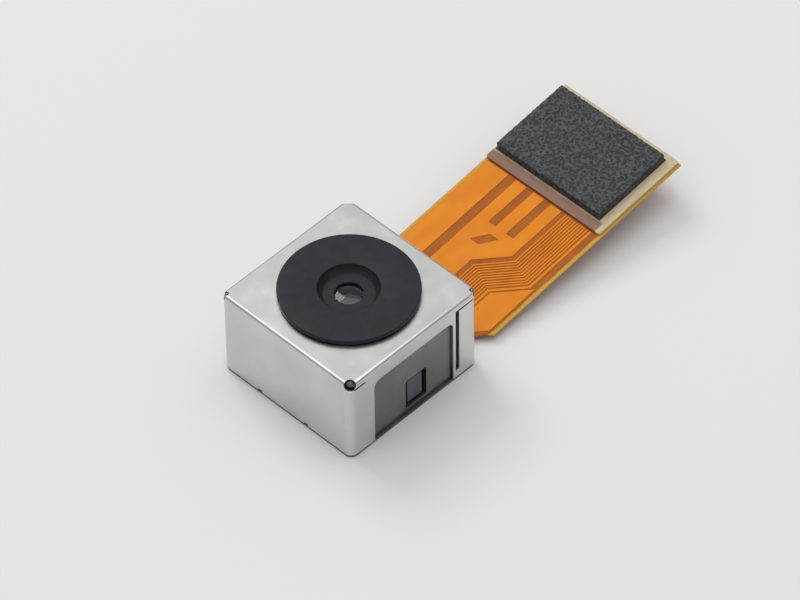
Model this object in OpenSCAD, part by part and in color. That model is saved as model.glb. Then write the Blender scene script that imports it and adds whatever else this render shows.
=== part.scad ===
// Autofocus camera module: a folded shield can over a voice-coil focus unit,
// on a sensor board with a flexible tail that ends in a board connector.
// Millimetres. Z is the optical axis, the module stands on z = 0,
// and the flexible tail leaves along +Y.

/* [Shield can] */
// Outside width of the square can
can_w = 10.5; // [10.3:0.1:13]
// Height of the can's top face above the table
can_top = 6.3; // [6.1:0.1:8]
// Sheet thickness of the can
can_t = 0.12; // [0.1:0.01:0.2]
// Outside radius of the vertical corners
can_corner_r = 0.5; // [0.4:0.05:0.8]
// Outside radius of the fold round the top
can_fold_r = 0.2; // [0.17:0.01:0.3]
// Radius of the round relief at the front and left corners
relief_r = 0.36; // [0.25:0.01:0.45]
// Width of the side cut-out that shows the inner can
cutout_w = 6.5; // [5:0.1:6.8]
// Height of the cut-out's top edge
cutout_top = 5.15; // [4.8:0.05:5.3]
// Radius of the cut-out's upper corners
cutout_r = 0.5; // [0.2:0.05:0.9]
// Width of the slit beside the cut-out
slit_w = 0.3; // [0.2:0.02:0.4]
// Bright strip left between the cut-out and the slit
slit_gap = 0.2; // [0.15:0.01:0.3]

/* [Inner can and actuator] */
// Gap between the shield can and the yoke
can_gap = 0.08; // [0.05:0.01:0.15]
// Sheet thickness of the yoke
yoke_t = 0.25; // [0.2:0.01:0.3]
// Gap from the can's roof to the yoke's roof
roof_gap = 0.1; // [0.05:0.01:0.2]
// Width of the yoke's snap window
window_w = 1.7; // [1.4:0.05:2.2]
// Height of the yoke's snap window
window_h = 2.3; // [1.9:0.05:2.5]
// Length of each magnet
magnet_l = 5.6; // [4:0.1:6.2]
// Thickness of each magnet
magnet_t = 0.55; // [0.4:0.01:0.6]
// Thickness of the leaf springs
spring_t = 0.05; // [0.04:0.01:0.08]
// Width of a spring arm
arm_w = 0.14; // [0.1:0.01:0.2]
// Focus travel of the lens
travel = 0.3; // [0.1:0.01:0.35]

/* [Lens] */
// Radius of the front flange
flange_r = 4.2; // [3.9:0.05:4.6]
// Thickness of the front flange
flange_t = 0.3; // [0.2:0.02:0.4]
// Gap between the flange and the can's roof
flange_gap = 0.08; // [0.06:0.01:0.2]
// Outside radius of the barrel
barrel_r = 3.1; // [2.9:0.05:3.2]
// Radius of the recess in the flange
recess_r = 1.85; // [1.7:0.05:2]
// Radius of the clear opening in front of the first lens
mouth_r = 0.86; // [0.8:0.02:1.2]
// Depth of the recess
recess_d = 0.5; // [0.3:0.05:0.6]
// Radius of the aperture
stop_r = 0.78; // [0.6:0.02:1]

/* [Board and sensor] */
// Thickness of the steel base plate
plate_t = 0.2; // [0.15:0.01:0.3]
// Thickness of the flexible circuit
flex_t = 0.12; // [0.1:0.01:0.15]
// Thickness of the rigid board
board_t = 0.4; // [0.3:0.02:0.5]
// Length of the sensor die
die_l = 7.2; // [6:0.1:7.4]
// Width of the sensor die
die_w = 5.6; // [4.6:0.1:5.7]
// Thickness of the sensor die
die_t = 0.25; // [0.15:0.01:0.3]

/* [Tail] */
// Width of the tail
tail_w = 9.4; // [8:0.1:9.8]
// Distance of the tail's left edge from the optical axis
tail_left = 4.65; // [4:0.05:4.65]
// Length of the tail outside the can
tail_l = 18.1; // [14:0.1:24]
// Upward slope of the tail
tail_pitch = 7.8; // [4:0.2:15]
// Bend radius where the tail turns up
bend_r = 2; // [1:0.1:3]
// Chamfer where the tail widens beside the can
chamfer = 1.6; // [1:0.1:2.6]
// Length of the stiffener at the far end
stiff_l = 7; // [6.6:0.1:9]
// Thickness of the stiffener
stiff_t = 0.2; // [0.1:0.02:0.3]
// Length of the foam pad along the tail
foam_l = 5.85; // [4:0.05:6.2]
// Width of the foam pad
foam_w = 8.5; // [6:0.1:9]
// Thickness of the foam pad
foam_t = 0.55; // [0.3:0.05:1]

/* [Connector] */
// Contacts on each side
contacts = 12; // [6:1:14]
// Contact pitch
contact_pitch = 0.4; // [0.35:0.05:0.5]
// Width of the connector body
plug_w = 2.6; // [2.2:0.1:3]
// Height of the connector body
plug_h = 0.8; // [0.6:0.05:1]

/* [Hidden] */
$fn = 64;
eps = 0.5;          // how far a cutting shape runs past what it cuts

// --- Levels, from the table up
flex_z = plate_t;
board_z = flex_z + flex_t;
chip_z = board_z + board_t;
holder_h = 1.48;
holder_top = chip_z + holder_h;
base_h = 0.8;
lower_spring_z = holder_top + base_h;
carrier_z = lower_spring_z + spring_t;
yoke_top = can_top - can_t - roof_gap;
frame_top = yoke_top - yoke_t;
spring_room = 0.05;                     // air left above the upper spring at full travel
upper_spring_z = frame_top - travel - spring_t - spring_room;
flange_z = can_top + flange_gap;
flange_top = flange_z + flange_t;

// --- Widths
yoke_w = can_w - 2 * (can_t + can_gap);
yoke_in = yoke_w - 2 * yoke_t;
part_gap = 0.1;                         // play of each moulded part in the yoke
inner_w = yoke_in - 2 * part_gap;
plate_w = can_w - 0.1;
rim = 0.4;                              // width of the springs' outer frame
mould_r = 0.3;                          // corner radius of the moulded parts
barrel_play = 0.3;                      // air round the barrel where it passes a hole
port_r = barrel_r + barrel_play;
glue = 0.02;                            // bond line between the barrel and its carrier

// --- Shapes used by several parts

// Square with round corners, centred
module rounded_square(w, r) {
    square([w, w - 2 * r], center = true);
    square([w - 2 * r, w], center = true);
    for (x = [-1, 1], y = [-1, 1])
        translate([x * (w / 2 - r), y * (w / 2 - r)]) circle(r);
}

// Upright square block with round corners, from z0 to z1
module block(w, r, z0, z1) {
    translate([0, 0, z0]) linear_extrude(z1 - z0) rounded_square(w, r);
}

// Side view of half a box's wall: height to z1, top edge rounded by the fold f
module fold_profile(half, f, z0, z1) {
    translate([0, z0]) square([half, z1 - f - z0]);
    translate([0, z0]) square([half - f, z1 - z0]);
    intersection() {
        translate([half - f, z1 - f]) circle(f);
        translate([0, z0]) square([half, z1 - z0]);
    }
}

// Closed box whose roof edge is a fold: upright corners r, top fold f
module folded_box(w, r, f, z0, z1) {
    flat = w / 2 - r;
    translate([-flat, -flat, z0]) cube([2 * flat, 2 * flat, z1 - z0]);
    for (a = [0 : 90 : 270]) rotate(a) translate([flat, flat, 0]) {
        rotate_extrude(angle = 90) fold_profile(r, f, z0, z1);
        rotate([90, 0, 0]) linear_extrude(2 * flat) fold_profile(r, f, z0, z1);
    }
}

// Ring about the optical axis from z0 to z1
module ring(r_in, r_out, z0, z1) {
    translate([0, 0, z0]) difference() {
        cylinder(r = r_out, h = z1 - z0);
        translate([0, 0, -eps]) cylinder(r = r_in, h = z1 - z0 + 2 * eps);
    }
}

// Rectangular block centred on the axis
module slab(size_x, size_y, z0, z1) {
    translate([-size_x / 2, -size_y / 2, z0]) cube([size_x, size_y, z1 - z0]);
}

// --- Shield can

cutout_left = -3.3;                     // where the cut-out starts along Y
cutout_right = cutout_left + cutout_w;
slit_y = cutout_right + slit_gap;
slit_low = 0.75;                        // lower end of the slit
seam_z = can_top - 0.6;                 // top edge of the flanges that wrap the corners
seam_w = 0.14;
short_seam = 0.75;                      // length of the seam beside the front relief
exit_h = 0.3;                           // height of the tail's exit above the plate
neck = tail_w - chamfer;                // width of the tail where it leaves the can
notch_w = 0.35;                         // the two small notches in the -Y wall
notch_h = 0.15;
notch_x = [-2.2, 1.55];
relief_in = 0.25;                       // from the corner's planes in to a relief's centre
relief_down = 0.2;                      // from the top down to a relief's centre
small_relief = 0.7;                     // size of the two smaller reliefs beside the front one
back_cut = 0.95;                        // side of the square that cuts the back corner flat

// Cutter of the tail's exit through the +Y wall whose outer face is at y = face
module tail_exit(face) {
    translate([-tail_left - part_gap, face - 2 * eps, plate_t - eps])
        cube([neck + 2 * part_gap, 4 * eps, exit_h + eps]);
}

// Upright inverted-U cutter through the +X wall
module side_cut() {
    flat = cutout_w - 2 * cutout_r;
    deep = can_fold_r + can_t;
    translate([can_w / 2 - deep, 0, 0]) rotate([90, 0, 90]) linear_extrude(deep + can_t) {
        translate([cutout_left, plate_t - eps]) square([cutout_w, cutout_top - cutout_r - plate_t + eps]);
        translate([cutout_left + cutout_r, plate_t]) square([flat, cutout_top - plate_t]);
        for (y = [cutout_left + cutout_r, cutout_right - cutout_r])
            translate([y, cutout_top - cutout_r]) circle(cutout_r);
    }
}

// Slit and seams of the flanges that wrap round the corners onto the +X wall
module wrap_seams() {
    depth = can_t + can_gap / 2;
    face = can_w / 2 - depth;
    translate([face, slit_y, slit_low]) cube([depth + eps, slit_w, seam_z + seam_w - slit_low]);
    translate([face, slit_y, seam_z]) cube([depth + eps, can_w / 2 - slit_y + eps, seam_w]);
    translate([face, -can_w / 2 - eps, seam_z]) cube([depth + eps, can_corner_r + short_seam + eps, seam_w]);
}

module shield_can() color([0.72, 0.72, 0.70]) difference() {
    folded_box(can_w, can_corner_r, can_fold_r, plate_t, can_top);
    folded_box(can_w - 2 * can_t, can_corner_r - can_t, can_fold_r - can_t, plate_t - eps, can_top - can_t);
    translate([0, 0, can_top - eps]) cylinder(r = port_r, h = 2 * eps);
    side_cut();
    wrap_seams();
    // Round corner reliefs
    near = can_w / 2 - relief_in;
    for (p = [[1, -1, 1], [-1, -1, small_relief], [1, 1, small_relief]])
        translate([p[0] * near, p[1] * near, can_top - relief_down]) sphere(relief_r * p[2]);
    // Corner cut flat at the back
    translate([-can_w / 2, can_w / 2, can_top]) rotate(45)
        cube([back_cut, back_cut, 2 * (can_top - seam_z)], center = true);
    tail_exit(can_w / 2);
    for (x = notch_x)
        translate([x - notch_w / 2, -can_w / 2 - eps, plate_t - eps]) cube([notch_w, 2 * eps, notch_h + eps]);
}

// --- Yoke, the inner can

window_z = 0.5;                         // lower edge of the snap window
window_y = 0.3;                         // centre of the snap window along Y
tab_gap = 0.26;                         // air round the snap tab in its window
tab_inset = 0.13;                       // from the yoke's face in to the tab's
yoke_fold_r = 0.3;                      // outside radius of the yoke's folds
yoke_bore_r = 0.25;                     // inside radius of its upright corners

module yoke() color([0.34, 0.34, 0.33]) difference() {
    folded_box(yoke_w, can_corner_r, yoke_fold_r, plate_t, yoke_top);
    block(yoke_in, yoke_bore_r, plate_t - eps, frame_top);
    translate([0, 0, frame_top - eps]) cylinder(r = port_r, h = 2 * eps + yoke_t);
    for (s = [-1, 1])
        translate([s * yoke_w / 2 - eps, window_y - window_w / 2, window_z])
            cube([2 * eps, window_w, window_h]);
    tail_exit(yoke_w / 2);
}

// --- Focus actuator

module magnets() color([0.62, 0.62, 0.64]) for (a = [0 : 90 : 270]) rotate(a)
    translate([-magnet_l / 2, yoke_in / 2 - magnet_t, carrier_z])
        cube([magnet_l, magnet_t, upper_spring_z - carrier_z]);

module upper_frame() color([0.12, 0.12, 0.13]) difference() {
    block(inner_w, mould_r, upper_spring_z + spring_t, frame_top);
    block(inner_w - 2 * rim, spring_corner_r, upper_spring_z, frame_top + eps);
}

carrier_r = barrel_r + glue;
carrier_wall = 0.4;
coil_r = carrier_r + carrier_wall;
coil_t = 0.4;
frame_in = inner_w / 2 - rim;

spring_corner_r = 0.5;                  // inside corner radius of the springs' outer frame
arm_start = 18;                         // where an arm leaves the inner ring, degrees
arm_turn = 76;                          // where it folds back
arm_end = 46;                           // where it runs out to the frame's corner
arm_lap = 0.6;                          // how far an arc runs on past its fold, degrees
spring_ring_in = 0.08;                  // from the carrier's bore out to the spring's inner ring

// Arc of an arm: strip of width arm_w on radius r, from angle a to just past arm_turn
module arm_arc(r, a) {
    intersection() {
        difference() {
            circle(r + arm_w / 2);
            circle(r - arm_w / 2);
        }
        rotate(a) square(2 * r);
        rotate(arm_turn + arm_lap - 90) square(2 * r);
    }
}

// Straight radial piece of an arm at angle a, from radius r0 to r1
module arm_spoke(a, r0, r1) {
    rotate(a) translate([r0, -arm_w / 2]) square([r1 - r0, arm_w]);
}

// One folded arm in the first quadrant, from the inner ring to the frame's corner
module spring_arm() {
    near = coil_r + 1.15 * arm_w;
    far = near + 2 * arm_w;
    corner = (frame_in - spring_corner_r) * sqrt(2) + spring_corner_r;
    arm_arc(near, arm_start);
    arm_arc(far, arm_end);
    arm_spoke(arm_start, coil_r - arm_w, near);
    arm_spoke(arm_turn, near - 0.4 * arm_w, far + 0.4 * arm_w);
    arm_spoke(arm_end, far, corner + arm_w);
}

// Flat leaf spring: square frame, inner ring and an arm in each corner
module leaf_spring(z) {
    translate([0, 0, z]) linear_extrude(spring_t) {
        difference() {
            rounded_square(inner_w, mould_r);
            rounded_square(inner_w - 2 * rim, spring_corner_r);
        }
        difference() {
            circle(coil_r);
            circle(carrier_r + spring_ring_in);
        }
        for (a = [0 : 90 : 270]) rotate(a) spring_arm();
    }
}

module upper_spring() color([0.80, 0.66, 0.38]) leaf_spring(upper_spring_z);

module lower_spring() color([0.80, 0.66, 0.38]) leaf_spring(lower_spring_z);

terminal_w = 0.6;
terminal_t = 0.15;
terminal_x = 1.5;
terminal_seat = 0.2;                    // moulding left above a terminal's slot
slot_play = 0.03;

// Slots for the two terminals, in the -Y faces of the moulded parts
module terminal_slots(z0, z1) {
    for (x = [-terminal_x, terminal_x])
        translate([x - terminal_w / 2 - slot_play, -inner_w / 2 - eps, z0])
            cube([terminal_w + 2 * slot_play, eps + terminal_t + slot_play, z1 - z0]);
}

module snap_tab() {
    y0 = window_y - window_w / 2 + tab_gap;
    translate([inner_w / 2, y0, window_z + tab_gap])
        cube([part_gap + yoke_t - tab_inset, window_w - 2 * tab_gap, window_h - 2 * tab_gap]);
}

module actuator_base() color([0.10, 0.10, 0.11]) {
    difference() {
        block(inner_w, mould_r, holder_top, lower_spring_z);
        translate([0, 0, holder_top - eps]) cylinder(r = port_r, h = base_h + 2 * eps);
        terminal_slots(holder_top - eps, lower_spring_z - terminal_seat);
    }
    snap_tab();
    mirror([1, 0, 0]) snap_tab();
}

module actuator_terminals() color([0.85, 0.72, 0.45]) for (x = [-terminal_x, terminal_x])
    translate([x - terminal_w / 2, -inner_w / 2, chip_z])
        cube([terminal_w, terminal_t, lower_spring_z - terminal_seat - slot_play - chip_z]);

// --- Filter holder, filter and board parts

holder_wall = 0.4;
holder_roof = 0.45;
filter_l = 7.0;
filter_w = 5.8;
filter_t = 0.3;
filter_play = 0.05;
filter_z = holder_top - filter_t - filter_play;
filter_ledge = 0.5;                     // ledge that the filter rests on
holder_bore_r = 0.2;                    // inside corner radius of the holder, and the board's

module filter_holder() color([0.09, 0.09, 0.10]) difference() {
    block(inner_w, mould_r, chip_z, holder_top);
    block(inner_w - 2 * holder_wall, holder_bore_r, chip_z - eps, holder_top - holder_roof);
    slab(filter_l - 2 * filter_ledge, filter_w - 2 * filter_ledge, chip_z, holder_top + eps);
    slab(filter_l + 2 * filter_play, filter_w + 2 * filter_play, filter_z, holder_top + eps);
    terminal_slots(chip_z - eps, holder_top + eps);
}

module infrared_filter() color([0.55, 0.75, 0.80, 0.5])
    slab(filter_l, filter_w, filter_z, filter_z + filter_t);

module image_sensor() color([0.25, 0.32, 0.38]) slab(die_l, die_w, chip_z, chip_z + die_t);

module sensor_board() color([0.10, 0.25, 0.16]) block(inner_w, holder_bore_r, board_z, chip_z);

// Space for chips between the die and the holder's wall, along Y
chip_y = (die_w / 2 + inner_w / 2 - holder_wall) / 2;

chip_w = 0.9;
driver = [2.0, 0.4];                    // length and thickness of the lens driver
memory = [1.5, 0.35];                   // length and thickness of the memory

module driver_chip() color([0.12, 0.12, 0.13])
    translate([0, -chip_y, 0]) slab(driver[0], chip_w, chip_z, chip_z + driver[1]);

module memory_chip() color([0.12, 0.12, 0.13])
    translate([0, chip_y, 0]) slab(memory[0], chip_w, chip_z, chip_z + memory[1]);

cap_l = 1.0;
cap_w = 0.5;
cap_end = 0.25;                         // length of an end terminal
cap_lip = 0.02;                         // how far the terminals stand out from the ceramic
cap_x = [-3.0, -1.8, 1.8, 3.0];

// Chip capacitor: ceramic block with cap terminals, along X
module capacitor() {
    slab(cap_l - 2 * cap_end + cap_end / 2, cap_w - 2 * cap_lip, cap_lip, cap_w - cap_lip);
    for (s = [-1, 1]) translate([s * (cap_l - cap_end) / 2, 0, 0]) slab(cap_end, cap_w, 0, cap_w);
}

module capacitors() color([0.72, 0.60, 0.45]) for (x = cap_x, s = [-1, 1])
    translate([x, s * chip_y, chip_z]) capacitor();

module base_plate() color([0.33, 0.33, 0.32])
    block(plate_w, can_corner_r - (can_w - plate_w) / 2, 0, plate_t);

// --- Flexible circuit and tail

exit_y = can_w / 2 + 0.3;               // where the bend starts
bend_in = bend_r - flex_t;              // radius of the bend's inside, the top face
bend_steps = 6;
bend_y = exit_y + bend_in * tan(tail_pitch / 2);    // where the top face's two flats would meet
tail_run = tail_l - (bend_y - can_w / 2);   // length of the straight slope
tail_right = tail_w - tail_left;
flex_top = flex_z + flex_t;
side_pad = 0.15;                        // bare film left beside the stiffener

// Frame on the slope: X across from the tail's left edge, Y up the slope, Z out of its top face
module on_slope() {
    translate([-tail_left, bend_y, flex_top]) rotate([tail_pitch, 0, 0]) children();
}

// Point of the side view at height h over the top face: angle a round the bend, then d up the slope
function side_point(h, a, d = 0) = [
    exit_y + (bend_in - h) * sin(a) + d * cos(a),
    flex_top + h + (bend_in - h) * (1 - cos(a)) + d * sin(a)];

// Side view of the layer between heights low and high over the top face,
// flat from y = start, bent, then up the slope until d past the bend
module side_layer(low, high, start, d) {
    turns = [for (i = [0 : bend_steps]) tail_pitch * i / bend_steps];
    polygon(concat(
        [[start, flex_top + low], [start, flex_top + high]],
        [for (a = turns) side_point(high, a)],
        [side_point(high, tail_pitch, d), side_point(low, tail_pitch, d)],
        [for (i = [bend_steps : -1 : 0]) side_point(low, turns[i])]));
}

// Layer of the sheet: the side view and the plan in common
module flex_layer(low, high, start, d) {
    intersection() {
        translate([-can_w, 0, 0]) rotate([90, 0, 90]) linear_extrude(2 * can_w)
            side_layer(low, high, start, d);
        linear_extrude(can_top + tail_l) children();
    }
}

straight = tail_run - bend_in * tan(tail_pitch / 2);    // slope past the end of the bend

// Plan of the sheet: board area, neck through the can's exit, chamfer and tail
module flex_plan() {
    half = inner_w / 2;
    face = can_w / 2;
    far = face + tail_l;
    right = neck - tail_left;
    polygon([[-half, -half], [half, -half], [half, half], [right, half], [right, exit_y],
        [tail_right, exit_y + chamfer], [tail_right, far], [-tail_left, far], [-tail_left, half],
        [-half, half]]);
}

module flex_tail() color([0.85, 0.48, 0.10])
    flex_layer(-flex_t, 0, -inner_w / 2, straight) flex_plan();

copper_t = 0.03;
margin = 0.25;                          // bare film along the tail's left edge
margin_right = 0.4;                     // and along its right edge
stiff_start = tail_run - stiff_l;
copper_start = (inner_w + part_gap - can_w) / 2;    // just outside the board, under the exit
copper_end = bend_y + stiff_start * cos(tail_pitch) - can_w / 2 - part_gap;
pour_w = 1.7;                           // broad pour along the left edge
bars = 3;                               // supply bars at the connector end
bar_left = 2.6;
bar_gap = 0.58;
bar_root = 0.7 * copper_end;            // where the bars join the middle pour
slant_w = 0.7;                          // width of the slanting window in the pour
slant_h = 1;
slant_drop = 1.6;                       // from the bars' root down to its lower edge
fan_lines = 10;
fan_pitch = 0.19;
fan_w = 0.09;
fan_u = tail_w - 1;                     // outermost line of the fan
fan_v = 0.53 * copper_end;              // where it turns
fan_shift = chamfer + 0.1;              // how far the fan moves to the left
fan_left = fan_u - (fan_lines - 1) * fan_pitch;
half_turn = tan(22.5);                  // keeps parallel tracks parallel through a 45 degree turn
guard_w = 0.16;
guard_u = fan_u + 0.25;
plane_gap = 0.2;                        // from the guard line to the plane, and from the fan to the pour
mid_right = fan_left - 2 * plane_gap;
bar_w = (mid_right - bar_left - (bars - 1) * bar_gap) / bars;

// Height at which a track at u turns, so that it stays parallel to the outermost line
function turn_v(u) = fan_v + (fan_u - u) * half_turn;

// Copper line of width w through the points of a path, each leg overlapping the next
module track(path, w) {
    for (i = [0 : len(path) - 2]) {
        step = path[i + 1] - path[i];
        translate(path[i]) rotate(atan2(step[1], step[0])) translate([-w / 2, -w / 2])
            square([norm(step) + w, w]);
    }
}

// Track at u: straight from the connector, aslant, then straight to the board
module fan_line(u, w) {
    v = turn_v(u);
    track([[u, copper_end - w / 2], [u, v], [u - fan_shift, v - fan_shift],
        [u - fan_shift, copper_start + w / 2]], w);
}

// Middle pour: three bars that join above a narrowing neck, with a slanting window below them
module middle_pour() {
    v = turn_v(mid_right);
    low = mid_right - fan_shift;
    difference() {
        polygon([[bar_left, copper_start], [bar_left, copper_end], [mid_right, copper_end],
            [mid_right, v], [low, v - fan_shift], [low, copper_start]]);
        for (i = [1 : bars - 1])
            translate([bar_left + i * (bar_w + bar_gap) - bar_gap, bar_root])
                square([bar_gap, copper_end - bar_root + eps]);
        translate([bar_left + bar_w, bar_root - slant_drop])
            polygon([[0, 0], [slant_w, slant_h], [2 * slant_w, slant_h], [slant_w, 0]]);
    }
}

// Plane in the lower right, inside the chamfer
module ground_plane() {
    left = guard_u - fan_shift + plane_gap;
    right = tail_w - margin_right;
    v = turn_v(guard_u + plane_gap);
    low = exit_y - can_w / 2 + chamfer;
    foot = neck - margin_right;
    rise = right - left;
    polygon([[left, copper_start], [left, v - fan_shift], [right, v - fan_shift + rise], [right, low],
        [foot, low - (right - foot)], [foot, copper_start]]);
}

// Plan of the copper: X across from the tail's left edge, Y out from the can's face
module copper_plan() {
    translate([margin, copper_start]) square([pour_w, copper_end - copper_start]);
    middle_pour();
    for (i = [0 : fan_lines - 1]) fan_line(fan_u - i * fan_pitch, fan_w);
    fan_line(guard_u, guard_w);
    ground_plane();
}

module copper_traces() color([0.90, 0.56, 0.16])
    flex_layer(0, copper_t, inner_w / 2, straight) translate([-tail_left, can_w / 2]) copper_plan();

module tail_stiffener() color([0.80, 0.72, 0.55])
    on_slope() translate([0, stiff_start, 0]) cube([tail_w - side_pad, stiff_l, stiff_t]);

adhesive_t = 0.05;
foam_left = 0.1;
foam_start = stiff_start + 0.75;

module foam_adhesive() color([0.16, 0.14, 0.13])
    on_slope() translate([foam_left, foam_start, stiff_t]) cube([foam_w, foam_l, adhesive_t]);

module foam_pad() color([0.26, 0.27, 0.28])
    on_slope() translate([foam_left, foam_start, stiff_t + adhesive_t]) cube([foam_w, foam_l, foam_t]);

// --- Board connector under the far end of the tail

plug_ends = 1.1;                        // body past the contacts at each end
plug_l = contacts * contact_pitch + 2 * plug_ends;
plug_y = stiff_start + stiff_l / 2;
plug_floor = 0.25;
wall = 0.4;
tongue_w = 0.6;
tongue_ends = 0.8;                      // from the body's ends in to the tongue's
tongue_drop = 0.05;                     // tongue lower than the walls
contact_w = 0.18;
contact_t = 0.08;
contact_foot = 0.3;                     // solder foot outside the wall
contact_drop = 0.2;                     // slots end this far below the wall's top
contact_play = 0.01;                    // air round a contact in its slot
anchor_t = 0.12;
anchor_foot = 0.3;
anchor_w = plug_w - 0.6;
anchor_h = plug_h - 0.15;
foot_t = 0.1;

// Frame at the connector's centre on the tail's underside, Z pointing away from the tail
module on_plug() {
    on_slope() translate([(tail_w - side_pad) / 2, plug_y, -flex_t]) rotate([180, 0, 0]) children();
}

// Repeats its children at each contact, on both sides
module each_contact() {
    for (i = [0 : contacts - 1], m = [0, 1])
        translate([(i - (contacts - 1) / 2) * contact_pitch, 0, 0]) mirror([0, m, 0]) children();
}

module connector_body() color([0.10, 0.10, 0.11]) on_plug() difference() {
    slab(plug_l, plug_w, 0, plug_h);
    difference() {
        slab(plug_l - 2 * wall, plug_w - 2 * wall, plug_floor, plug_h + eps);
        slab(plug_l - 2 * tongue_ends, tongue_w, 0, plug_h - tongue_drop);
    }
    // Slots that hold the contacts
    slot = [contact_w, 2 * (wall + contact_t)] + 2 * [contact_play, contact_play];
    each_contact() translate([0, plug_w / 2, 0]) slab(slot[0], slot[1], -eps, plug_h - contact_drop);
}

// Contact: foot outside, riser in the wall's slot
module contact() {
    inner = wall + contact_t;
    translate([-contact_w / 2, plug_w / 2 - inner, 0]) {
        cube([contact_w, inner + contact_foot, contact_t]);
        cube([contact_w, 2 * contact_t, plug_h - contact_drop - contact_play]);
    }
}

module connector_contacts() color([0.88, 0.74, 0.38]) on_plug() each_contact() contact();

module connector_anchors() color([0.80, 0.76, 0.66]) on_plug() for (m = [0, 1]) mirror([m, 0, 0])
    translate([plug_l / 2, -anchor_w / 2, 0]) {
        cube([anchor_t, anchor_w, anchor_h]);
        cube([anchor_t + anchor_foot, anchor_w, foot_t]);
    }

// --- Lens group

barrel_gap = 0.15;                          // from the filter holder up to the barrel
barrel_z = holder_top + barrel_gap;
lip_t = 0.14;
seat_1 = flange_top - recess_d - lip_t;     // underside of the front lip
barrel_wall = 0.48;
bore_step = [0.3, 0.22];                    // how much each bore is wider than the one above it
bore_3 = barrel_r - barrel_wall;
bore_2 = bore_3 - bore_step[1];
bore_1 = bore_2 - bore_step[0];
recess_taper = 0.31;                        // how much the recess narrows down to its floor
rim_bevel = 0.08;
lens_play = 0.02;
thin = 0.05;                                // thickness of the stop and the spacers
stack = [0.7, thin, 0.5, thin, 0.6, thin, 0.6, thin, 0.72];
ring_in = 0.05;                             // retaining ring in from the barrel's lower end
spacer_in = [1.03, 0.9, 0.6];               // width of each spacer
lens_rim = [0.78, 0.78, 0.7, 0.4];          // width of the flat rim of lenses 2 to 5

// Level of the top of item i in the stack, counted down from the front lip
function level(i) = i == 0 ? seat_1 : level(i - 1) - stack[i - 1];

module lens_barrel() color([0.07, 0.07, 0.08]) rotate_extrude($fn = 128) polygon([
    [barrel_r, barrel_z], [barrel_r, flange_z], [flange_r, flange_z], [flange_r, flange_top - rim_bevel],
    [flange_r - rim_bevel, flange_top], [recess_r, flange_top],
    [recess_r - recess_taper, flange_top - recess_d], [mouth_r, flange_top - recess_d], [mouth_r, seat_1],
    [bore_1, seat_1], [bore_1, level(3)], [bore_2, level(3)], [bore_2, level(5)], [bore_3, level(5)],
    [bore_3, barrel_z]]);

coil_low = 0.5;                             // level of the coil above the carrier's foot
coil_high = 0.3;                            // carrier left bare above the coil
shelf_t = 0.3;                              // shelf that the coil is wound against

module lens_carrier() color([0.13, 0.13, 0.14]) {
    ring(carrier_r, coil_r, carrier_z, upper_spring_z);
    ring(carrier_r, coil_r + coil_t, carrier_z + coil_low - shelf_t, carrier_z + coil_low);
}

module focus_coil() color([0.72, 0.42, 0.22])
    ring(coil_r, coil_r + coil_t, carrier_z + coil_low, upper_spring_z - coil_high);

// Lens element that fills a bore as item i of the stack, with a rim of the given width,
// a dome of height top on its front and one of height low on its back; negative ones are hollows
dome_steps = 8;

module element(bore, i, edge, top, low) {
    r = bore - lens_play;
    clear = r - edge;
    steps = [for (k = [0 : dome_steps]) k / dome_steps];
    rotate_extrude($fn = 96) polygon(concat(
        [for (x = steps) [clear * x, level(i + 1) - low * (1 - x * x)]],
        [[r, level(i + 1)], [r, level(i)]],
        [for (x = steps) [clear * (1 - x), level(i) + top * (1 - (1 - x) * (1 - x))]]));
}

// Thin black ring of the given width that fills a bore as item i of the stack
module spacer(bore, i, width) {
    ring(bore - lens_play - width, bore - lens_play, level(i + 1), level(i));
}

module lens_1() color([0.30, 0.33, 0.36, 0.6]) element(bore_1, 0, bore_1 - mouth_r + lens_play, 0.1, -0.06);

module aperture_stop() color([0.04, 0.04, 0.05]) spacer(bore_1, 1, bore_1 - lens_play - stop_r);

module lens_2() color([0.30, 0.33, 0.36, 0.6]) element(bore_1, 2, lens_rim[0], -0.05, -0.12);

module spacer_1() color([0.04, 0.04, 0.05]) spacer(bore_2, 3, spacer_in[0]);

module lens_3() color([0.30, 0.33, 0.36, 0.6]) element(bore_2, 4, lens_rim[1], -0.1, -0.05);

module spacer_2() color([0.04, 0.04, 0.05]) spacer(bore_3, 5, spacer_in[1]);

module lens_4() color([0.30, 0.33, 0.36, 0.6]) element(bore_3, 6, lens_rim[2], -0.12, -0.05);

module spacer_3() color([0.04, 0.04, 0.05]) spacer(bore_3, 7, spacer_in[2]);

module lens_5() color([0.30, 0.33, 0.36, 0.6]) element(bore_3, 8, lens_rim[3], -0.2, -0.15);

module retaining_ring() color([0.09, 0.09, 0.10])
    ring(bore_3 - lens_play - lens_rim[3], bore_3 - lens_play, barrel_z + ring_in, level(len(stack)));

shield_can();
yoke();
magnets();
upper_frame();
upper_spring();
lower_spring();
actuator_base();
actuator_terminals();
filter_holder();
infrared_filter();
image_sensor();
sensor_board();
driver_chip();
memory_chip();
capacitors();
base_plate();
flex_tail();
copper_traces();
tail_stiffener();
foam_adhesive();
foam_pad();
connector_body();
connector_contacts();
connector_anchors();
lens_barrel();
lens_carrier();
focus_coil();
lens_1();
lens_2();
lens_3();
lens_4();
lens_5();
aperture_stop();
spacer_1();
spacer_2();
spacer_3();
retaining_ring();
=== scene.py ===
"""Autofocus camera module on a flexible tail, modelled and finished for a studio view.

The folded shield can, the yoke seen through its cut-out, the lens unit, the flexible circuit, its stiffener,
the foam pad and the board connector are modelled here. The inner pieces keep their CAD meshes and get a finish.
All sizes are in millimetres until a piece is settled, when its mesh is brought to metres.
"""

import logging
import math
from dataclasses import dataclass
from enum import Enum
from typing import Any, Callable, Iterable, Sequence

import bmesh
import bpy
from mathutils import Matrix, Vector

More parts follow.
